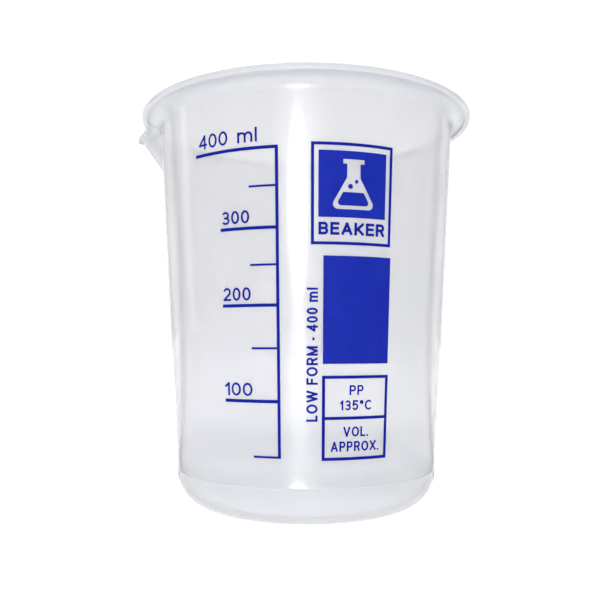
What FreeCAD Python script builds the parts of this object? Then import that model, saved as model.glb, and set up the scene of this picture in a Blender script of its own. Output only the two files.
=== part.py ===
"""A 400 ml low-form beaker: one moulding in translucent polypropylene, with printed blue marks.

Frame: millimetres, +Z up along the axis, origin at the centre of the base.
The spout points along -X, and the print faces -Y.
An azimuth is an angle about +Z in degrees: 0 faces -Y, and it grows towards +X.
"""
import FreeCAD, Part
import math
import os

V = FreeCAD.Vector
UP = V(0, 0, 1)
ORIGIN = V(0, 0, 0)
PARTS = "parts"

# The moulding
HEIGHT = 110.0
RIM_RADIUS = 47.5
BASE_CONE_RADIUS = 36.0     # outer wall cone, carried down to the base plane
TAPER = 0.058               # growth of the wall's radius for each millimetre of height
WALL = 1.2
FLOOR = 1.8
FOOT_ROUND = 10.5           # outer corner between the wall and the base
FOOT_RING_RADIUS = 23.0     # inner edge of the ring that the beaker stands on
FOOT_RECESS = 0.6
GATE_RADIUS = 2.0           # the moulding gate's mark, under the floor
GATE_HEIGHT = 0.3
SEAM_HEIGHT = 10.6          # the mould's parting line, a fine bead round the wall
SEAM_PROUD = 0.12
SEAM_WIDTH = 0.5
FLANGE = 1.0                # thickness of the rim's plate
FLANGE_ROUND = 3.3          # under the plate, where it leaves the wall
MOUTH_ROUND = 4.5           # over the plate, where it leaves the wall
LIP_DROP = 0.6              # how far the rim's outer band hangs below the plate
LIP_WIDTH = 1.6
LIP_ROUND = 0.35
RIM_ROUND = 0.7

# The spout: a V-shaped beak whose keel climbs from the wall to a thin tip
SPOUT_AZIMUTH = -90.0
SPOUT_HALF_SPAN = 16.0      # the rim is a plain circle outside this angle
SPOUT_FLOOR = 90.0          # the wall is a plain cone below this height
KEEL_START = (41.4, 93.3)   # radius and height where the keel leaves the wall
KEEL_BREAK = (51.0, 106.2)  # where it turns up into the rim
KEEL_TOP_RADIUS = 52.4
TIP_RADIUS = 53.6
TIP_DIP = 1.2               # the tip's drop below the rim
TIP_THICKNESS = 0.7
BEAK_HALF_ANGLE = 45.0      # between the keel and each side, seen from above
BEAK_NOSE = 1.7             # how much the nose's rounding takes off the V's sharp point
BEAK_BLEND = 0.9            # how softly the beak's sides run into the rim and the wall
LIP_FADE = 0.85             # share of the lip's drop that is gone at the tip
SPOUT_SECTIONS = 33
LINE_SAMPLES = 16
ARC_SAMPLES = 24
WELD = 0.001                # tolerance for joining the spout to the rim and the rim to the wall

# The print: thin films of ink on the outer wall
INK = 0.06
CUT_DEPTH = 0.3             # how far a cutter reaches each way through a film
PRISM_REACH = 3.0           # how far a flat drawing is carried each way to meet the wall
BOLD_LINE = 0.8
FINE_LINE = 0.52
FRAME_LINE = 0.74

# The scale: a spine with lines running to its left
SPINE_AZIMUTH = 2.15
MARKS = {50: 18.0, 100: 31.3, 150: 44.0, 200: 54.3, 250: 64.0, 300: 72.9, 350: 82.9, 400: 92.1}
TOP_MARK = 400
NUMERAL_EVERY = 100
TOP_MARK_END = -30.2        # azimuths of the lines' left ends
LONG_MARK_END = -19.4
SHORT_MARK_END = -7.8
NUMERAL_HEIGHT = 3.2
NUMERAL_WIDTH = 7.7
NUMERAL_GAP = 1.2           # from a line's centre up to its numeral's foot
TOP_NUMERAL_AZIMUTH = -22.0
TOP_NUMERAL_HEIGHT = 3.5
TOP_NUMERAL_WIDTH = 9.3
TOP_NUMERAL_GAP = 1.5
UNIT_AZIMUTH = -8.1
UNIT_WIDTH = 5.2
TEXT_STROKE = 0.52
LETTER_GAP = 0.16           # between letters, as a share of their height

# The label: (left azimuth, right azimuth, bottom, top) of each block
LABEL_FRAME = (13.65, 42.95, 68.65, 93.1)
TILE = (16.15, 40.4, 75.2, 91.15)
PANEL = (17.95, 43.3, 40.3, 66.05)
DATA_FRAME = (17.7, 43.55, 17.3, 37.5)
DATA_DIVIDER = 27.35
WORD_FOOT = 71.0
WORD_HEIGHT = 3.05
WORD_WIDTH = 16.9
WORD_STROKE = 0.66
SIDE_TEXT_FOOT = 16.15      # azimuth of the upright text's baseline
SIDE_TEXT_HEIGHT = 2.7
SIDE_TEXT_LENGTH = 31.8
SIDE_TEXT_MIDDLE = 42.5
DATA_HEIGHT = 2.4
DATA_STROKE = 0.42
DATA_LINES = {              # name: (text, foot, width)
    "data_material": ("PP", 32.8, 3.6),
    "data_temperature": ("135\u00b0C", 29.2, 8.2),
    "data_volume": ("VOL.", 22.9, 6.4),
    "data_approximate": ("APPROX.", 19.4, 12.4),
}

# A conical flask with some liquid, in millimetres from the tile's centre
FLASK_LIP_WIDTH = 5.4
FLASK_LIP_HEIGHT = 1.1
FLASK_NECK_WIDTH = 3.4
FLASK_SHOULDER = 1.6        # height where the neck meets the sloping body
FLASK_BASE_WIDTH = 11.8
FLASK_TOP = 6.0
FLASK_BOTTOM = -6.0
FLASK_ROUND = 1.2
LIQUID_INSET = 0.9
LIQUID_LEVEL = -1.9
BUBBLES = [(-0.8, -0.5, 0.6), (0.75, 0.7, 0.45)]

# Letter shapes. Each is (width, strokes) in a box whose left and bottom stroke centres are 0
# and whose right and top ones are 1, with width a share of the letters' height.
# A bar is (x0, y0, x1, y1); a bow is (centre x, centre y, radius x, radius y, from, to) in degrees.
LETTERS = {
    "0": (0.64, [(0.5, 0.5, 0.5, 0.5, 0, 360)]),
    "1": (0.34, [(1, 0, 1, 1), (1, 1, 0, 0.76)]),
    "2": (0.64, [(0.5, 0.7, 0.5, 0.3, -35, 165), (0.91, 0.528, 0, 0), (0, 0, 1, 0)]),
    "3": (0.64, [(0.5, 0.75, 0.45, 0.25, -90, 160), (0.5, 0.25, 0.5, 0.25, -160, 90), (0.4, 0.5, 0.55, 0.5)]),
    "4": (0.68, [(0.78, 0, 0.78, 1), (0.78, 1, 0, 0.27), (0, 0.27, 1, 0.27)]),
    "5": (0.64, [(0.95, 1, 0.12, 1), (0.12, 1, 0.03, 0.5), (0.48, 0.32, 0.52, 0.32, -155, 145)]),
    "A": (0.84, [(0, 0, 0.5, 1), (0.5, 1, 1, 0), (0.2, 0.3, 0.8, 0.3)]),
    "B": (0.72, [(0, 0, 0, 1), (0, 1, 0.6, 1), (0, 0.52, 0.6, 0.52), (0, 0, 0.6, 0),
                 (0.6, 0.76, 0.35, 0.24, -90, 90), (0.6, 0.26, 0.4, 0.26, -90, 90)]),
    "C": (0.80, [(0.55, 0.5, 0.55, 0.5, 48, 312)]),
    "E": (0.68, [(0, 0, 0, 1), (0, 1, 1, 1), (0, 0.52, 0.9, 0.52), (0, 0, 1, 0)]),
    "F": (0.64, [(0, 0, 0, 1), (0, 1, 1, 1), (0, 0.52, 0.85, 0.52)]),
    "K": (0.76, [(0, 0, 0, 1), (0, 0.3, 1, 1), (0.3, 0.52, 1, 0)]),
    "L": (0.60, [(0, 0, 0, 1), (0, 0, 1, 0)]),
    "M": (0.92, [(0, 0, 0, 1), (0, 1, 0.5, 0), (0.5, 0, 1, 1), (1, 1, 1, 0)]),
    "O": (0.90, [(0.5, 0.5, 0.5, 0.5, 0, 360)]),
    "P": (0.70, [(0, 0, 0, 1), (0, 1, 0.6, 1), (0, 0.45, 0.6, 0.45), (0.6, 0.725, 0.4, 0.275, -90, 90)]),
    "R": (0.74, [(0, 0, 0, 1), (0, 1, 0.6, 1), (0, 0.48, 0.6, 0.48), (0.6, 0.74, 0.38, 0.26, -90, 90),
                 (0.6, 0.48, 0.98, 0)]),
    "V": (0.84, [(0, 1, 0.5, 0), (0.5, 0, 1, 1)]),
    "W": (1.16, [(0, 1, 0.26, 0), (0.26, 0, 0.5, 1), (0.5, 1, 0.74, 0), (0.74, 0, 1, 1)]),
    "X": (0.82, [(0, 0, 1, 1), (0, 1, 1, 0)]),
    "m": (1.00, [(0, 0, 0, 0.7), (0.25, 0.42, 0.25, 0.28, 0, 180), (0.5, 0, 0.5, 0.42),
                 (0.75, 0.42, 0.25, 0.28, 0, 180), (1, 0, 1, 0.42)]),
    "l": (0.0, [(0, 0, 0, 1)]),
    ".": (0.0, [(0, 0, 0, 0)]),
    "-": (0.30, [(0, 0.36, 1, 0.36)]),
    "\u00b0": (0.42, [(0.5, 0.86, 0.5, 0.14, 0, 360)]),
    " ": (0.12, []),
}


def outer_radius(z):
    return BASE_CONE_RADIUS + TAPER * z


def at_azimuth(shape, azimuth):
    """Turns a shape made on the XZ plane, at +X, to an azimuth."""
    shape.rotate(ORIGIN, UP, azimuth - 90.0)
    return shape


# ------------------------------------------------------------------ the moulding

def rounded_outline(corners):
    """Runs of 2 points (a line) or 3 (an arc) round a closed outline of (radius, height, rounding)."""
    points = [V(r, 0, z) for r, z, _ in corners]
    joins = []
    for i, (_, _, rounding) in enumerate(corners):
        here = points[i]
        if rounding == 0:
            joins.append((here, None, here))
            continue
        back = (points[i - 1] - here).normalize()
        on = (points[(i + 1) % len(points)] - here).normalize()
        half = back.getAngle(on) / 2
        reach = rounding / math.tan(half)
        middle = (back + on).normalize()
        centre = here + middle * (rounding / math.sin(half))
        joins.append((here + back * reach, centre - middle * rounding, here + on * reach))
    runs = []
    for i, (start, middle, end) in enumerate(joins):
        if middle is not None:
            runs.append((start, middle, end))
        following = joins[(i + 1) % len(joins)][0]
        runs.append((end, following))
    return runs


def run_edge(run):
    if len(run) == 2:
        return Part.LineSegment(*run).toShape()
    return Part.Arc(*run).toShape()


def rim_corners():
    """The wall's and the rim's outline, from the outer wall over the rim and down inside."""
    plate = HEIGHT - FLANGE
    lip = RIM_RADIUS - LIP_WIDTH
    return [
        (outer_radius(plate), plate, FLANGE_ROUND),
        (lip, plate, 0),
        (lip, plate - LIP_DROP, LIP_ROUND / 2),
        (RIM_RADIUS, plate - LIP_DROP, LIP_ROUND),
        (RIM_RADIUS, HEIGHT, RIM_ROUND),
        (outer_radius(HEIGHT) - WALL, HEIGHT, MOUTH_ROUND),
    ]


def spun(outline, sweep):
    return Part.Face(Part.Wire(outline)).revolve(ORIGIN, UP, sweep)


def lower_body():
    """The beaker from its base up to where the spout's keel starts."""
    low, high = SEAM_HEIGHT - SEAM_WIDTH / 2, SEAM_HEIGHT + SEAM_WIDTH / 2
    gate = FOOT_RECESS - GATE_HEIGHT
    corners = [
        (0, gate, 0),
        (GATE_RADIUS, gate, 0),
        (GATE_RADIUS, FOOT_RECESS, 0),
        (FOOT_RING_RADIUS - FOOT_RECESS, FOOT_RECESS, FOOT_RECESS),
        (FOOT_RING_RADIUS, 0, FOOT_RECESS),
        (outer_radius(0), 0, FOOT_ROUND),
        (outer_radius(low), low, 0),
        (outer_radius(SEAM_HEIGHT) + SEAM_PROUD, SEAM_HEIGHT, SEAM_PROUD),
        (outer_radius(high), high, 0),
        (outer_radius(SPOUT_FLOOR), SPOUT_FLOOR, 0),
        (outer_radius(SPOUT_FLOOR) - WALL, SPOUT_FLOOR, 0),
        (outer_radius(FLOOR) - WALL, FLOOR, FOOT_ROUND - WALL),
        (0, FLOOR, 0),
    ]
    return spun([run_edge(run) for run in rounded_outline(corners)], 360)


def soft_step(x):
    """x where it is well above 0, and 0 where it is well below, with a smooth turn between."""
    if x <= -BEAK_BLEND:
        return 0.0
    if x >= BEAK_BLEND:
        return x
    return (x + BEAK_BLEND) ** 2 / (4 * BEAK_BLEND)


def beak_radius(nose, offset):
    """Radius of a V-shaped outline with a rounded nose, at an angle off the spout's centre."""
    side = math.radians(BEAK_HALF_ANGLE)
    sharp = (nose + BEAK_NOSE) * math.sin(side)
    round_off = math.asin(sharp / nose) - side
    return sharp / math.sin(side + math.hypot(math.radians(offset), round_off))


def keel_radius(z):
    (r0, z0), (r1, z1) = KEEL_START, KEEL_BREAK
    if z > z1:
        return r1 + (KEEL_TOP_RADIUS - r1) * (z - z1) / (HEIGHT - z1)
    return r0 + (r1 - r0) * (z - z0) / (z1 - z0)


def spout_point(point, offset):
    """Where a point of the plain rim's outline lies at an angle off the spout's centre."""
    r, z = point.x, point.z
    plate = HEIGHT - FLANGE
    root = outer_radius(plate - FLANGE_ROUND)
    across = min(max((r - root) / (RIM_RADIUS - root), 0), 1)
    wall_push = soft_step(beak_radius(keel_radius(z), offset) - outer_radius(z))
    rim_push = soft_step(beak_radius(TIP_RADIUS, offset) - RIM_RADIUS)
    share = rim_push / (TIP_RADIUS - RIM_RADIUS)
    height = z - TIP_DIP * share * across
    if z > plate:
        height -= (z - plate) * (1 - TIP_THICKNESS / FLANGE) * share * across
    elif r > RIM_RADIUS - LIP_WIDTH:
        height += (plate - z) * LIP_FADE * share
    return V(r + (1 - across) * wall_push + across * rim_push, 0, height)


def rim_outline():
    """The closed outline of everything above the level where the spout starts."""
    outer_foot = (outer_radius(SPOUT_FLOOR), SPOUT_FLOOR, 0)
    inner_foot = (outer_radius(SPOUT_FLOOR) - WALL, SPOUT_FLOOR, 0)
    return rounded_outline([outer_foot, *rim_corners(), inner_foot])


def spout_section(offset):
    """The rim's outline at an angle off the spout's centre, pushed out into the beak."""
    edges = []
    for run in rim_outline():
        plain = run_edge(run)
        first, last = plain.ParameterRange
        count = LINE_SAMPLES if len(run) == 2 else ARC_SAMPLES
        steps = [float(i) for i in range(count + 1)]
        points = [spout_point(plain.valueAt(first + (last - first) * i / count), offset) for i in steps]
        curve = Part.BSplineCurve()
        curve.interpolate(Points=points, Parameters=steps)
        edges.append(curve.toShape())
    return at_azimuth(Part.Wire(edges), SPOUT_AZIMUTH + offset)


def vessel():
    """The whole moulding: wall, foot, rim and spout in one solid."""
    step = 2 * SPOUT_HALF_SPAN / (SPOUT_SECTIONS - 1)
    sections = [spout_section(-SPOUT_HALF_SPAN + step * i) for i in range(SPOUT_SECTIONS)]
    spout = Part.makeLoft(sections, True, False)
    rim = spun([run_edge(run) for run in rim_outline()], 360 - 2 * SPOUT_HALF_SPAN)
    at_azimuth(rim, SPOUT_AZIMUTH + SPOUT_HALF_SPAN)
    return lower_body().fuse(rim.fuse(spout, WELD), WELD).Solids[0]


# ------------------------------------------------------------------ the print

def film(block, inner=0.0, outer=INK):
    """A patch that follows the wall, between two distances out from its surface."""
    left, right, bottom, top = block
    normal = V(1, 0, -TAPER).normalize()
    low, high = V(outer_radius(bottom), 0, bottom), V(outer_radius(top), 0, top)
    corners = [low + normal * inner, low + normal * outer, high + normal * outer, high + normal * inner]
    patch = spun(Part.makePolygon([*corners, corners[0]]).Edges, right - left)
    return at_azimuth(patch, left)


def span(width, z):
    """The angle that a width takes up on the wall."""
    return math.degrees(width / outer_radius(z))


def cutter(block):
    return film(block, -CUT_DEPTH, CUT_DEPTH)


def inset(block, distance):
    left, right, bottom, top = block
    side = span(distance, (bottom + top) / 2)
    return (left + side, right - side, bottom + distance, top - distance)


def frame(block):
    return film(block).cut(cutter(inset(block, FRAME_LINE)))


def prism(face):
    """A flat drawing in the XY plane, carried both ways along Z."""
    solid = face.extrude(V(0, 0, 2 * PRISM_REACH))
    solid.translate(V(0, 0, -PRISM_REACH))
    return solid


def flat(corners):
    """A prism through (x, y) or (x, y, rounding) corners."""
    outline = rounded_outline([(*corner, 0)[:3] for corner in corners])
    face = Part.Face(Part.Wire([run_edge(run) for run in outline]))
    face.rotate(ORIGIN, V(1, 0, 0), -90)
    return prism(face)


def bar(x0, y0, x1, y1, stroke):
    """A straight stroke with square ends that stand out by half its width."""
    start, end = V(x0, y0, 0), V(x1, y1, 0)
    on = (end - start).normalize() if end != start else V(1, 0, 0)
    half_along = on * (stroke / 2)
    half_across = V(-on.y, on.x, 0) * (stroke / 2)
    corners = [start - half_along - half_across, end + half_along - half_across,
               end + half_along + half_across, start - half_along + half_across]
    return flat([(c.x, c.y) for c in corners])


def ellipse(x, y, rx, ry):
    if rx >= ry:
        curve = Part.Ellipse(V(x, y, 0), rx, ry).toShape()
    else:
        curve = Part.Ellipse(V(0, 0, 0), ry, rx).toShape()
        curve.rotate(ORIGIN, UP, 90)
        curve.translate(V(x, y, 0))
    return prism(Part.Face(Part.Wire(curve)))


def bow(x, y, rx, ry, first, last, stroke):
    """A stroke along part of an ellipse."""
    half = stroke / 2
    ring = ellipse(x, y, rx + half, ry + half).cut(ellipse(x, y, rx - half, ry - half))
    if last - first >= 360:
        return ring
    reach = 4 * max(rx, ry)
    count = max(2, math.ceil((last - first) / 60))
    turns = [math.radians(first + (last - first) * i / count) for i in range(count + 1)]
    fan = [(x, y)] + [(x + reach * math.cos(t), y + reach * math.sin(t)) for t in turns]
    return ring.common(flat(fan))


def letter_width(letter, height, stroke, stretch):
    return max(LETTERS[letter][0] * height * stretch, stroke)


def letter_prism(letter, width, height, stroke):
    """One letter, centred across x = 0 with its foot at y = 0."""
    across, up = width - stroke, height - stroke

    def place(x, y):
        return (x * across - across / 2, y * up + stroke / 2)

    pieces = []
    for item in LETTERS[letter][1]:
        if len(item) == 4:
            pieces.append(bar(*place(*item[:2]), *place(*item[2:]), stroke))
        else:
            x, y, rx, ry, first, last = item
            pieces.append(bow(*place(x, y), rx * across, ry * up, first, last, stroke))
    whole = pieces[0].fuse(pieces[1:]) if len(pieces) > 1 else pieces[0]
    box = flat([(-width / 2, 0), (width / 2, 0), (width / 2, height), (-width / 2, height)])
    return whole.common(box).removeSplitter()


def on_wall(drawing, azimuth, z, margin=0.0, upright=False):
    """A drawing's prism laid on the wall as a film, with its origin at an azimuth and a height.

    A margin makes it thicker both ways, for use as a cutter.
    """
    angle = math.radians(azimuth)
    out = V(math.sin(angle), -math.cos(angle), 0)
    right = V(math.cos(angle), math.sin(angle), 0)
    up = (UP + out * TAPER).normalize()
    origin = out * outer_radius(z) + UP * z
    across, along_text = (up, right * -1) if upright else (right, up)
    normal = right.cross(up)
    placed = drawing.transformed(FreeCAD.Matrix(
        across.x, along_text.x, normal.x, origin.x,
        across.y, along_text.y, normal.y, origin.y,
        across.z, along_text.z, normal.z, origin.z,
        0, 0, 0, 1))
    size = placed.BoundBox.DiagonalLength
    side = span(size, z)
    patch = (azimuth - side, azimuth + side, z - size, z + size)
    return film(patch, -margin, INK + margin).common(placed)


def text(words, height, width, stroke, azimuth, z, upright=False):
    """Letters spaced to a total width, centred on an azimuth, or on a height where the text is upright."""
    gaps = LETTER_GAP * height * (len(words) - 1)
    natural = sum(letter_width(c, height, stroke, 1) for c in words)
    stretch = (width - gaps) / natural
    widths = [letter_width(c, height, stroke, stretch) for c in words]
    gap = (width - sum(widths)) / max(len(words) - 1, 1)
    solids = []
    start = -width / 2
    for letter, own in zip(words, widths):
        middle = start + own / 2
        start += own + gap
        if letter == " ":
            continue
        drawing = letter_prism(letter, own, height, stroke)
        if upright:
            solids += on_wall(drawing, azimuth, z + middle, upright=True).Solids
        else:
            solids += on_wall(drawing, azimuth + span(middle, z), z).Solids
    return Part.makeCompound(solids)


def numeral(volume, z):
    """The number over a line. The top one is larger and has the unit beside it."""
    name, words = f"numeral_{volume}", str(volume)
    if volume < TOP_MARK:
        middle = SHORT_MARK_END - span(NUMERAL_WIDTH / 2, z)
        return {name: text(words, NUMERAL_HEIGHT, NUMERAL_WIDTH, TEXT_STROKE, middle, z + NUMERAL_GAP)}
    height, foot = TOP_NUMERAL_HEIGHT, z + TOP_NUMERAL_GAP
    return {
        name: text(words, height, TOP_NUMERAL_WIDTH, TEXT_STROKE, TOP_NUMERAL_AZIMUTH, foot),
        "unit_ml": text("ml", height, UNIT_WIDTH, TEXT_STROKE, UNIT_AZIMUTH, foot),
    }


def scale():
    """The spine, a line for each mark, and a numeral for each hundred."""
    parts = {}
    heights = list(MARKS.values())
    edge_angle = span(BOLD_LINE / 2, heights[-1])
    left_edge = SPINE_AZIMUTH - edge_angle
    parts["scale_spine"] = film((left_edge, SPINE_AZIMUTH + edge_angle,
                                 heights[0] - FINE_LINE / 2, heights[-1] + BOLD_LINE / 2))
    for volume, z in MARKS.items():
        has_numeral = volume % NUMERAL_EVERY == 0
        half = (BOLD_LINE if has_numeral else FINE_LINE) / 2
        end = LONG_MARK_END if has_numeral else SHORT_MARK_END
        if volume == TOP_MARK:
            end = TOP_MARK_END
        parts[f"line_{volume:03d}"] = film((end, left_edge, z - half, z + half))
        if has_numeral:
            parts.update(numeral(volume, z))
    return parts


def flask_body(inset_by, top):
    """The flask's sloping body up to a height, drawn in from its outline by a distance."""
    slope = (FLASK_BASE_WIDTH - FLASK_NECK_WIDTH) / 2 / (FLASK_SHOULDER - FLASK_BOTTOM)
    lean = inset_by * math.hypot(1, slope)

    def half_width(y):
        return FLASK_NECK_WIDTH / 2 + (FLASK_SHOULDER - y) * slope - lean

    foot = FLASK_BOTTOM + inset_by
    rounding = FLASK_ROUND - inset_by / 2
    return flat([(-half_width(foot), foot, rounding), (half_width(foot), foot, rounding),
                 (half_width(top), top), (-half_width(top), top)])


def flask_tile():
    """A solid tile with a conical flask left clear, and the liquid and bubbles in it printed."""
    left, right, bottom, top = TILE
    azimuth, z = (left + right) / 2, (bottom + top) / 2
    neck = FLASK_NECK_WIDTH / 2
    lip = FLASK_LIP_WIDTH / 2
    under_lip = FLASK_TOP - FLASK_LIP_HEIGHT
    neck_and_lip = flat([(-neck, FLASK_SHOULDER), (neck, FLASK_SHOULDER), (neck, under_lip),
                         (lip, under_lip), (lip, FLASK_TOP), (-lip, FLASK_TOP),
                         (-lip, under_lip), (-neck, under_lip)])
    flask = flask_body(0, FLASK_SHOULDER).fuse(neck_and_lip).removeSplitter()
    gap = on_wall(flask, azimuth, z, INK)
    printed = [flask_body(LIQUID_INSET, LIQUID_LEVEL)]
    printed += [ellipse(x, y, r, r) for x, y, r in BUBBLES]
    solids = film(TILE).cut(gap).Solids
    for drawing in printed:
        solids += on_wall(drawing, azimuth, z).Solids
    return Part.makeCompound(solids)


def label():
    left, right, _, _ = TILE
    parts = {
        "label_frame": frame(LABEL_FRAME),
        "label_flask_tile": flask_tile(),
        "label_word": text("BEAKER", WORD_HEIGHT, WORD_WIDTH, WORD_STROKE, (left + right) / 2, WORD_FOOT),
        "solid_panel": film(PANEL),
        "side_text": text("LOW FORM - 400 ml", SIDE_TEXT_HEIGHT, SIDE_TEXT_LENGTH, TEXT_STROKE,
                          SIDE_TEXT_FOOT, SIDE_TEXT_MIDDLE, upright=True),
    }
    left, right, _, _ = inset(DATA_FRAME, FRAME_LINE)
    divider = film((left, right, DATA_DIVIDER - FRAME_LINE / 2, DATA_DIVIDER + FRAME_LINE / 2))
    parts["data_frame"] = frame(DATA_FRAME).fuse(divider).removeSplitter()
    for name, (words, foot, width) in DATA_LINES.items():
        parts[name] = text(words, DATA_HEIGHT, width, DATA_STROKE, (left + right) / 2, foot)
    return parts


def main():
    os.makedirs(PARTS, exist_ok=True)
    parts = {"vessel": vessel(), **scale(), **label()}
    for name, shape in parts.items():
        shape.exportStep(os.path.join(PARTS, name + ".step"))
        print(f"{name}: {len(shape.Solids)} solid(s), {shape.Volume:.2f} mm3, valid {shape.isValid()}")


if __name__ == "__main__":
    main()
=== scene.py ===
"""The looks of a 400 ml polypropylene beaker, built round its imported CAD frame.

Frame: +Z up along the axis, origin at the centre of the base, spout along -X, print facing -Y.
Lengths are millimetres in this file, and metres once a mesh or a light is made.
An azimuth is an angle about +Z in degrees: 0 faces -Y, and it grows towards +X.
"""
import math

import bpy
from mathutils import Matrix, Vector


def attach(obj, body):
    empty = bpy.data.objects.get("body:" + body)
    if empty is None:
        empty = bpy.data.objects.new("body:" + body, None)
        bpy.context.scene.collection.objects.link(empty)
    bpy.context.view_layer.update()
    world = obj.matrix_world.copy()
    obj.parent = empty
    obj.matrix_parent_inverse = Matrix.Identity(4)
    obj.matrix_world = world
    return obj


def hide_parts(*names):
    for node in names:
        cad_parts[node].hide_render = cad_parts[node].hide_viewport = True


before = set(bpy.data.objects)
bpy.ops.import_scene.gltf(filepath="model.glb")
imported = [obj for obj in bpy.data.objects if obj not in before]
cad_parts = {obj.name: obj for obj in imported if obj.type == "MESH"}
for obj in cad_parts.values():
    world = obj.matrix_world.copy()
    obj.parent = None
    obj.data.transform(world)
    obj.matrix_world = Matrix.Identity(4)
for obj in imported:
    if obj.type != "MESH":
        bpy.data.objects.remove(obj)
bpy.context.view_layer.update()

MM = 0.001

# The moulding's outline, as in the CAD model
HEIGHT = 110.0
RIM_RADIUS = 47.5
BASE_CONE_RADIUS = 36.0
TAPER = 0.058
WALL = 1.2
FLOOR = 1.8
FOOT_ROUND = 10.5
FOOT_RING_RADIUS = 23.0
FOOT_RECESS = 0.6
GATE_RADIUS = 2.0
GATE_HEIGHT = 0.3
SEAM_HEIGHT = 10.6
SEAM_PROUD = 0.12
SEAM_WIDTH = 0.5
FLANGE = 1.0
FLANGE_ROUND = 3.3
MOUTH_ROUND = 4.5
LIP_DROP = 0.6
LIP_WIDTH = 1.6
LIP_ROUND = 0.35
RIM_ROUND = 0.7

# The spout's beak
SPOUT_AZIMUTH = -90.0
SPOUT_HALF_SPAN = 16.0
SPOUT_FLOOR = 90.0
KEEL_START = (41.4, 93.3)
KEEL_BREAK = (51.0, 106.2)
KEEL_TOP_RADIUS = 52.4
TIP_RADIUS = 53.6
TIP_DIP = 1.2
TIP_THICKNESS = 0.7
BEAK_HALF_ANGLE = 45.0
BEAK_NOSE = 1.7
BEAK_BLEND = 0.9
LIP_FADE = 0.85

# Mesh density
PLAIN_STEPS = 260           # round the rim outside the spout
SPOUT_STEPS = 80            # across the spout
ARC_STEP = 6.0              # degrees of turn for each segment of a rounding
SMALL_ARC_STEP = 12.0       # the same for a rounding of up to a millimetre
LEAST_ARC_STEPS = 3         # segments in the smallest rounding
WALL_STEP = 4.0             # longest segment of the plain wall
SPOUT_STEP = 0.8            # the same at the heights of the spout
SHARP_EDGE = 40.0           # degrees between faces from which an edge stays sharp

# The camera, at the height and distance that give the same perspective
CAMERA_AZIMUTH = 12.0
CAMERA_DISTANCE = 205.86
CAMERA_HEIGHT = 45.24
CAMERA_PITCH = 0.0612
CAMERA_YAW = 0.0086
CAMERA_CLIP = (0.01, 20)    # metres
SENSOR = 36.0
LENS = 42.2


def outer_radius(z):
    return BASE_CONE_RADIUS + TAPER * z


# ------------------------------------------------------------------ the vessel's mesh

def rounded(corners):
    """Points along an outline of (radius, height, rounding) corners, with its roundings as short chords."""
    points = []
    for i, (r, z, rounding) in enumerate(corners):
        here = Vector((r, z))
        if rounding == 0:
            points.append(here)
            continue
        back = (Vector(corners[i - 1][:2]) - here).normalized()
        on = (Vector(corners[i + 1][:2]) - here).normalized()
        half = back.angle(on) / 2
        middle = (back + on).normalized()
        centre = here + middle * (rounding / math.sin(half))
        start = here + back * (rounding / math.tan(half)) - centre
        sweep = start.angle_signed(here + on * (rounding / math.tan(half)) - centre)
        step = ARC_STEP if rounding > 1 else SMALL_ARC_STEP
        count = max(LEAST_ARC_STEPS, math.ceil(math.degrees(abs(sweep)) / step))
        for k in range(count + 1):
            turn = -sweep * k / count
            c, s = math.cos(turn), math.sin(turn)
            points.append(centre + Vector((start.x * c - start.y * s, start.x * s + start.y * c)))
    return points


def vessel_corners():
    """The moulding's outline: from the middle of the base up the outside, over the rim and down inside."""
    low, high = SEAM_HEIGHT - SEAM_WIDTH / 2, SEAM_HEIGHT + SEAM_WIDTH / 2
    gate = FOOT_RECESS - GATE_HEIGHT
    plate = HEIGHT - FLANGE
    lip = RIM_RADIUS - LIP_WIDTH
    return [
        (0, gate, 0),
        (GATE_RADIUS, gate, 0),
        (GATE_RADIUS, FOOT_RECESS, 0),
        (FOOT_RING_RADIUS - FOOT_RECESS, FOOT_RECESS, FOOT_RECESS),
        (FOOT_RING_RADIUS, 0, FOOT_RECESS),
        (outer_radius(0), 0, FOOT_ROUND),
        (outer_radius(low), low, 0),
        (outer_radius(SEAM_HEIGHT) + SEAM_PROUD, SEAM_HEIGHT, SEAM_PROUD),
        (outer_radius(high), high, 0),
        (outer_radius(SPOUT_FLOOR), SPOUT_FLOOR, 0),
        (outer_radius(plate), plate, FLANGE_ROUND),
        (lip, plate, 0),
        (lip, plate - LIP_DROP, LIP_ROUND / 2),
        (RIM_RADIUS, plate - LIP_DROP, LIP_ROUND),
        (RIM_RADIUS, HEIGHT, RIM_ROUND),
        (outer_radius(HEIGHT) - WALL, HEIGHT, MOUTH_ROUND),
        (outer_radius(SPOUT_FLOOR) - WALL, SPOUT_FLOOR, 0),
        (outer_radius(FLOOR) - WALL, FLOOR, FOOT_ROUND - WALL),
        (0, FLOOR, 0),
    ]


def subdivided(points):
    """The outline with its long straight stretches cut up for clean, even faces."""
    fine = [points[0]]
    for start, end in zip(points, points[1:]):
        step = SPOUT_STEP if min(start.y, end.y) >= SPOUT_FLOOR else WALL_STEP
        count = max(1, math.ceil((end - start).length / step - 1e-6))
        fine += [start.lerp(end, k / count) for k in range(1, count + 1)]
    return fine


def soft_step(x):
    """x where it is well above 0, and 0 where it is well below, with a smooth turn between."""
    if x <= -BEAK_BLEND:
        return 0.0
    if x >= BEAK_BLEND:
        return x
    return (x + BEAK_BLEND) ** 2 / (4 * BEAK_BLEND)


def beak_radius(nose, offset):
    """Radius of a V-shaped outline with a rounded nose, at an angle off the spout's centre."""
    side = math.radians(BEAK_HALF_ANGLE)
    sharp = (nose + BEAK_NOSE) * math.sin(side)
    round_off = math.asin(sharp / nose) - side
    return sharp / math.sin(side + math.hypot(math.radians(offset), round_off))


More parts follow.
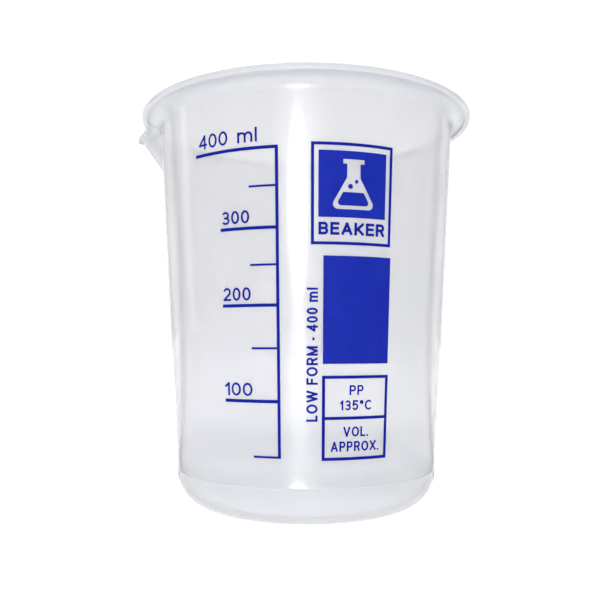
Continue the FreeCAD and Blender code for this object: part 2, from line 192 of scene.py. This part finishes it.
def keel_radius(z):
    (r0, z0), (r1, z1) = KEEL_START, KEEL_BREAK
    if z > z1:
        return r1 + (KEEL_TOP_RADIUS - r1) * (z - z1) / (HEIGHT - z1)
    return r0 + (r1 - r0) * (z - z0) / (z1 - z0)


def spout_point(point, offset):
    """Where a point of the plain rim's outline lies at an angle off the spout's centre."""
    r, z = point
    if abs(offset) >= SPOUT_HALF_SPAN or z < SPOUT_FLOOR:
        return r, z
    plate = HEIGHT - FLANGE
    root = outer_radius(plate - FLANGE_ROUND)
    across = min(max((r - root) / (RIM_RADIUS - root), 0), 1)
    wall_push = soft_step(beak_radius(keel_radius(z), offset) - outer_radius(z))
    rim_push = soft_step(beak_radius(TIP_RADIUS, offset) - RIM_RADIUS)
    share = rim_push / (TIP_RADIUS - RIM_RADIUS)
    height = z - TIP_DIP * share * across
    if z > plate:
        height -= (z - plate) * (1 - TIP_THICKNESS / FLANGE) * share * across
    elif r > RIM_RADIUS - LIP_WIDTH:
        height += (plate - z) * LIP_FADE * share
    return r + (1 - across) * wall_push + across * rim_push, height


def turn_offsets():
    """Angles off the spout's centre for every section round the vessel."""
    span = SPOUT_HALF_SPAN
    across = [-span + 2 * span * i / SPOUT_STEPS for i in range(SPOUT_STEPS)]
    around = [span + (360 - 2 * span) * i / PLAIN_STEPS for i in range(PLAIN_STEPS)]
    return across + around


def vessel():
    """The whole moulding as one closed quad mesh, with flat discs at its two poles."""
    outline = subdivided(rounded(vessel_corners()))[1:-1]
    sections = turn_offsets()
    count, turns = len(outline), len(sections)
    vertices = []
    for offset in sections:
        angle = math.radians(SPOUT_AZIMUTH + offset)
        for point in outline:
            r, z = spout_point(point, offset)
            vertices.append((r * math.sin(angle) * MM, -r * math.cos(angle) * MM, z * MM))
    faces = []
    for i in range(turns):
        here, there = i * count, (i + 1) % turns * count
        for k in range(count - 1):
            faces.append((here + k, there + k, there + k + 1, here + k + 1))
    faces.append([i * count for i in reversed(range(turns))])
    faces.append([i * count + count - 1 for i in range(turns)])
    mesh = bpy.data.meshes.new("beaker_vessel")
    mesh.from_pydata(vertices, [], faces)
    mesh.validate()
    mesh.shade_smooth()
    mesh.set_sharp_from_angle(angle=math.radians(SHARP_EDGE))
    piece = bpy.data.objects.new("beaker_vessel", mesh)
    bpy.context.scene.collection.objects.link(piece)
    mesh.materials.append(polypropylene())
    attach(piece, "root")
    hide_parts("vessel")


# ------------------------------------------------------------------ materials

# Plastic. A zone is the height where it starts and the height where it is complete.
RIM_ZONE = (105.5, 108.5)
FOOT_ZONE = (24.0, 10.0)
FOOT_SHARE = 0.45                       # how milky the foot is beside the rim
THIN_TINT = (0.92, 0.925, 0.99, 1)      # the plain wall's mottle runs between these two
CLEAR_TINT = (0.975, 0.98, 1.0, 1)
RIM_TINT = (0.775, 0.79, 0.825, 1)
FOOT_TINT = (0.805, 0.83, 0.905, 1)
PLASTIC_CLOUD = (40, 3, (1, 1, 0.5))    # a noise's scale, detail and stretch
PLASTIC_GRAIN = (900, 2)
CLOUD_RELIEF = 0.06
GRAIN_RELIEF = 0.004
WALL_ROUGHNESS = (0.05, 0.09)
RIM_ROUGHNESS = 0.22
PLASTIC_IOR = 1.49
CLARITY = (0.74, 0.3)                   # share of light let through, in the plain wall and in the rim
SCATTER_DEPTH = 1.5                     # how far light spreads inside the plastic

# Ink
SOLID_AREAS = ("solid_panel", "label_flask_tile")
AREA_SHADES = ((0.008, 0.024, 0.38, 1), (0.003, 0.012, 0.28, 1))    # thin and dense
LINE_SHADES = ((0.001, 0.009, 0.3, 1), (0.0005, 0.005, 0.22, 1))
INK_CLOUD = (260, 4)
INK_GRAIN = (2500, 2)
INK_RELIEF = 0.02
INK_ROUGHNESS = (0.45, 0.6)
INK_SHINE = 0.1


def new_material(name):
    material = bpy.data.materials.new(name)
    material.use_nodes = True
    nodes, links = material.node_tree.nodes, material.node_tree.links
    return material, nodes, links, nodes["Principled BSDF"]


def noise(nodes, links, source, scale, detail, stretch=(1, 1, 1)):
    """Noise in object space, finer where the scale (in features for each metre) is larger."""
    mapping = nodes.new("ShaderNodeMapping")
    mapping.inputs["Scale"].default_value = stretch
    links.new(source, mapping.inputs["Vector"])
    texture = nodes.new("ShaderNodeTexNoise")
    texture.inputs["Scale"].default_value = scale
    texture.inputs["Detail"].default_value = detail
    links.new(mapping.outputs["Vector"], texture.inputs["Vector"])
    return texture.outputs["Fac"]


def mapped(nodes, links, source, low, high):
    """An output that runs from 0 to 1, carried over to the range from low to high."""
    node = nodes.new("ShaderNodeMapRange")
    node.inputs["To Min"].default_value = low
    node.inputs["To Max"].default_value = high
    links.new(source, node.inputs["Value"])
    return node.outputs["Result"]


def mixed(nodes, links, factor, first, second):
    """The first colour where the factor is 0 and the second where it is 1; either may be a node's output."""
    node = nodes.new("ShaderNodeMix")
    node.data_type = "RGBA"
    for name, colour in (("A", first), ("B", second)):
        if isinstance(colour, tuple):
            node.inputs[name].default_value = colour
        else:
            links.new(colour, node.inputs[name])
    links.new(factor, node.inputs["Factor"])
    return node.outputs["Result"]


def combined(nodes, links, operation, first, second):
    """Two outputs joined by a math operation; the second may be a plain number."""
    node = nodes.new("ShaderNodeMath")
    node.operation = operation
    links.new(first, node.inputs[0])
    if isinstance(second, float):
        node.inputs[1].default_value = second
    else:
        links.new(second, node.inputs[1])
    return node.outputs["Value"]


def bump(nodes, links, source, relief, before=None):
    """A surface normal with bumps as high as the relief, on top of an earlier normal if there is one."""
    node = nodes.new("ShaderNodeBump")
    node.inputs["Distance"].default_value = relief * MM
    links.new(source, node.inputs["Height"])
    if before is not None:
        links.new(before, node.inputs["Normal"])
    return node.outputs["Normal"]


def soft_split(nodes, links, place, axis, low, high):
    """0 on the near side of one place along an axis and 1 past another, with a soft change between."""
    split = nodes.new("ShaderNodeSeparateXYZ")
    links.new(place, split.inputs["Vector"])
    node = nodes.new("ShaderNodeMapRange")
    node.interpolation_type = "SMOOTHSTEP"
    node.inputs["From Min"].default_value = low * MM
    node.inputs["From Max"].default_value = high * MM
    links.new(split.outputs[axis], node.inputs["Value"])
    return node.outputs["Result"]


def polypropylene():
    """Natural polypropylene: milkiest in the thick rim and foot, with soft flow marks and an uneven skin."""
    material, nodes, links, shader = new_material("natural_polypropylene")
    place = nodes.new("ShaderNodeTexCoord").outputs["Object"]
    cloud = noise(nodes, links, place, *PLASTIC_CLOUD)
    grain = noise(nodes, links, place, *PLASTIC_GRAIN)
    rim = soft_split(nodes, links, place, "Z", *RIM_ZONE)
    foot = mapped(nodes, links, soft_split(nodes, links, place, "Z", *FOOT_ZONE), 0.0, FOOT_SHARE)
    tint = mixed(nodes, links, cloud, THIN_TINT, CLEAR_TINT)
    tint = mixed(nodes, links, foot, tint, FOOT_TINT)
    tint = mixed(nodes, links, rim, tint, RIM_TINT)
    links.new(tint, shader.inputs["Base Color"])
    skin = mapped(nodes, links, cloud, *WALL_ROUGHNESS)
    rim_skin = mapped(nodes, links, rim, 0.0, RIM_ROUGHNESS)
    links.new(combined(nodes, links, "MAXIMUM", skin, rim_skin), shader.inputs["Roughness"])
    milky = combined(nodes, links, "MAXIMUM", rim, foot)
    links.new(mapped(nodes, links, milky, *CLARITY), shader.inputs["Transmission Weight"])
    shader.inputs["IOR"].default_value = PLASTIC_IOR
    shader.inputs["Subsurface Weight"].default_value = 1.0
    shader.inputs["Subsurface Radius"].default_value = (1, 1, 1)
    shader.inputs["Subsurface Scale"].default_value = SCATTER_DEPTH * MM
    wavy = bump(nodes, links, cloud, CLOUD_RELIEF)
    links.new(bump(nodes, links, grain, GRAIN_RELIEF, wavy), shader.inputs["Normal"])
    return material


def blue_ink(name, thin, dense):
    """Screen-printed ink: blue mottled between a thin and a dense shade, with a fine texture."""
    material, nodes, links, shader = new_material(name)
    place = nodes.new("ShaderNodeTexCoord").outputs["Object"]
    cloud = noise(nodes, links, place, *INK_CLOUD)
    grain = noise(nodes, links, place, *INK_GRAIN)
    links.new(mixed(nodes, links, cloud, dense, thin), shader.inputs["Base Color"])
    shader.inputs["Specular IOR Level"].default_value = INK_SHINE
    links.new(mapped(nodes, links, grain, *INK_ROUGHNESS), shader.inputs["Roughness"])
    links.new(bump(nodes, links, grain, INK_RELIEF), shader.inputs["Normal"])
    return material


def print_ink():
    """Solid areas take a thinner coat of ink than lines and letters do."""
    area_ink = blue_ink("blue_ink_areas", *AREA_SHADES)
    line_ink = blue_ink("blue_ink_lines", *LINE_SHADES)
    for name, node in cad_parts.items():
        if name == "vessel":
            continue
        node.data.materials.clear()
        node.data.materials.append(area_ink if name in SOLID_AREAS else line_ink)


# ------------------------------------------------------------------ the studio

# The room. Its brightness goes from in front of the beaker (0) round to the backdrop (1), with a dark zone
# on each side that draws the dark bands inside the beaker's outline.
BACKDROP_AZIMUTH = CAMERA_AZIMUTH + 180
ROOM_LIGHT = {0.0: 0.86, 0.5: 0.77, 0.69: 0.87, 0.765: 0.27, 0.84: 1.1, 0.9: 1.22, 0.97: 0.98}
ROOM_SEEN = 1.05                    # how bright the camera sees it
UPPER_FADE = (0.12, 0.36)           # it dims between these heights, as the sine of the elevation
UPPER_LIGHT = 0.75                  # down to this share

# The floor is a light table, matt behind the beaker and glossy in front of it.
TABLE_RADIUS = 2500.0
TABLE_TURNS = 128
TABLE_GAP = 0.05                    # between its top and the beaker's base, so that the two don't flicker
TABLE_GLOW = 1.16                   # how bright it is beside the room
TABLE_SEEN = 1.05
TABLE_GREY = (0.2, 0.2, 0.2, 1)
TABLE_ROUGHNESS = 0.2
TABLE_IOR = 1.6
TABLE_SHINE = (0.0, 0.5)            # behind and in front
GLOSSY_FRONT = (-20.0, -45.0)       # Y where the gloss starts and where it is complete

# The lamps. The core is the share of an oval's radius that is evenly bright.
FRONT_BOX = {"azimuth": 5.7, "distance": 900.0, "height": 140.0, "size": (275.0, 330.0),
             "watts": 1.55, "core": 0.72}
FRONT_GLOW = {"azimuth": 8.0, "distance": 910.0, "height": 170.0, "size": (800.0, 600.0),
              "watts": 5.2, "core": 0.0}
SIDE_STRIP = {"azimuth": -92.0, "distance": 900.0, "height": 300.0, "size": (120.0, 900.0),
              "watts": 0.27, "core": 0.7}
TOP_BOX = {"azimuth": 180.0, "distance": 200.0, "height": 1100.0, "size": (1000.0, 1000.0),
           "watts": 4.1, "core": 0.4}


def seen_or_lit(nodes, links, lit, seen):
    """One strength for the rays that light the beaker and another for the camera's own."""
    path = nodes.new("ShaderNodeLightPath")
    choice = nodes.new("ShaderNodeMix")
    choice.inputs["B"].default_value = seen
    links.new(lit, choice.inputs["A"])
    links.new(path.outputs["Is Camera Ray"], choice.inputs["Factor"])
    return choice.outputs["Result"]


def room_light(nodes, links, direction):
    """How bright the room is in a direction, by how far round that is from the backdrop."""
    angle = math.radians(BACKDROP_AZIMUTH)
    facing = nodes.new("ShaderNodeVectorMath")
    facing.operation = "DOT_PRODUCT"
    facing.inputs[1].default_value = (math.sin(angle), -math.cos(angle), 0)
    links.new(direction, facing.inputs[0])
    share = nodes.new("ShaderNodeMapRange")
    share.inputs["From Min"].default_value = -1
    links.new(facing.outputs["Value"], share.inputs["Value"])
    ramp = nodes.new("ShaderNodeValToRGB")
    ramp.color_ramp.interpolation = "EASE"
    stops = ramp.color_ramp.elements
    while len(stops) < len(ROOM_LIGHT):
        stops.new(0.5)
    for stop, (position, level) in zip(stops, ROOM_LIGHT.items()):
        stop.position = position
        stop.color = (level, level, level, 1)
    links.new(share.outputs["Result"], ramp.inputs["Fac"])
    return ramp.outputs["Color"]


def stage_paint():
    """A light table that follows the room's brightness all round, so that no horizon shows."""
    material, nodes, links, shader = new_material("pale_stage")
    place = nodes.new("ShaderNodeTexCoord").outputs["Object"]
    outward = nodes.new("ShaderNodeVectorMath")
    outward.operation = "NORMALIZE"
    links.new(place, outward.inputs[0])
    around = room_light(nodes, links, outward.outputs["Vector"])
    glow = combined(nodes, links, "MULTIPLY", around, TABLE_GLOW)
    front = soft_split(nodes, links, place, "Y", *GLOSSY_FRONT)
    links.new(mapped(nodes, links, front, *TABLE_SHINE), shader.inputs["Specular IOR Level"])
    shader.inputs["Base Color"].default_value = TABLE_GREY
    shader.inputs["Roughness"].default_value = TABLE_ROUGHNESS
    shader.inputs["IOR"].default_value = TABLE_IOR
    shader.inputs["Emission Color"].default_value = (1, 1, 1, 1)
    links.new(seen_or_lit(nodes, links, glow, TABLE_SEEN), shader.inputs["Emission Strength"])
    return material


def stage():
    """A pale round floor, far larger than the view."""
    radius, level = TABLE_RADIUS * MM, -TABLE_GAP * MM
    angles = [2 * math.pi * i / TABLE_TURNS for i in range(TABLE_TURNS)]
    rim = [(radius * math.cos(a), radius * math.sin(a), level) for a in angles]
    mesh = bpy.data.meshes.new("studio_floor")
    mesh.from_pydata(rim, [], [range(TABLE_TURNS)])
    mesh.materials.append(stage_paint())
    floor = bpy.data.objects.new("studio_floor", mesh)
    bpy.context.scene.collection.objects.link(floor)


def softbox(name, azimuth, distance, height, size, watts, core):
    """An oval lamp, evenly bright across its core and fading from there to its edge."""
    light = bpy.data.lights.new(name, "AREA")
    light.shape = "ELLIPSE"
    light.use_nodes = True
    nodes, links = light.node_tree.nodes, light.node_tree.links
    across = nodes.new("ShaderNodeVectorMath")
    across.operation = "DISTANCE"
    across.inputs[1].default_value = (0.5, 0.5, 0)
    links.new(nodes.new("ShaderNodeNewGeometry").outputs["Parametric"], across.inputs[0])
    fade = nodes.new("ShaderNodeMapRange")
    fade.interpolation_type = "SMOOTHSTEP"
    fade.inputs["From Min"].default_value = 0.5
    fade.inputs["From Max"].default_value = core / 2
    links.new(across.outputs["Value"], fade.inputs["Value"])
    links.new(fade.outputs["Result"], nodes["Emission"].inputs["Strength"])
    light.size, light.size_y = size[0] * MM, size[1] * MM
    light.energy = watts
    lamp = bpy.data.objects.new(name, light)
    angle = math.radians(azimuth)
    lamp.location = Vector((math.sin(angle) * distance, -math.cos(angle) * distance, height)) * MM
    aim = Vector((0, 0, HEIGHT / 2)) * MM - lamp.location
    lamp.rotation_euler = aim.to_track_quat("-Z", "Y").to_euler()
    lamp.visible_camera = False
    lamp.visible_transmission = False
    bpy.context.scene.collection.objects.link(lamp)


def studio_light():
    """Soft light from all round, dimmer overhead and with a dark zone on each side."""
    world = bpy.data.worlds.new("studio")
    world.use_nodes = True
    nodes, links = world.node_tree.nodes, world.node_tree.links
    direction = nodes.new("ShaderNodeTexCoord").outputs["Generated"]
    split = nodes.new("ShaderNodeSeparateXYZ")
    links.new(direction, split.inputs["Vector"])
    fade = nodes.new("ShaderNodeMapRange")
    fade.inputs["From Min"].default_value, fade.inputs["From Max"].default_value = UPPER_FADE
    fade.inputs["To Min"].default_value = 1.0
    fade.inputs["To Max"].default_value = UPPER_LIGHT
    links.new(split.outputs["Z"], fade.inputs["Value"])
    walls = room_light(nodes, links, direction)
    lit = combined(nodes, links, "MULTIPLY", walls, fade.outputs["Result"])
    background = nodes["Background"]
    background.inputs["Color"].default_value = (1, 1, 1, 1)
    links.new(seen_or_lit(nodes, links, lit, ROOM_SEEN), background.inputs["Strength"])
    bpy.context.scene.world = world


def lights():
    softbox("front_softbox", **FRONT_BOX)
    softbox("front_glow", **FRONT_GLOW)
    softbox("side_strip", **SIDE_STRIP)
    softbox("top_softbox", **TOP_BOX)
    studio_light()


def camera():
    data = bpy.data.cameras.new("camera")
    data.sensor_width = SENSOR
    data.lens = LENS
    data.clip_start, data.clip_end = CAMERA_CLIP
    eye = bpy.data.objects.new("camera", data)
    angle = math.radians(CAMERA_AZIMUTH)
    eye.location = Vector((math.sin(angle) * CAMERA_DISTANCE, -math.cos(angle) * CAMERA_DISTANCE,
                           CAMERA_HEIGHT)) * MM
    eye.rotation_euler = (math.pi / 2 + CAMERA_PITCH, 0, angle + CAMERA_YAW)
    bpy.context.scene.collection.objects.link(eye)
    bpy.context.scene.camera = eye


vessel()
print_ink()
stage()
lights()
camera()
bpy.context.scene.view_settings.view_transform = "Standard"
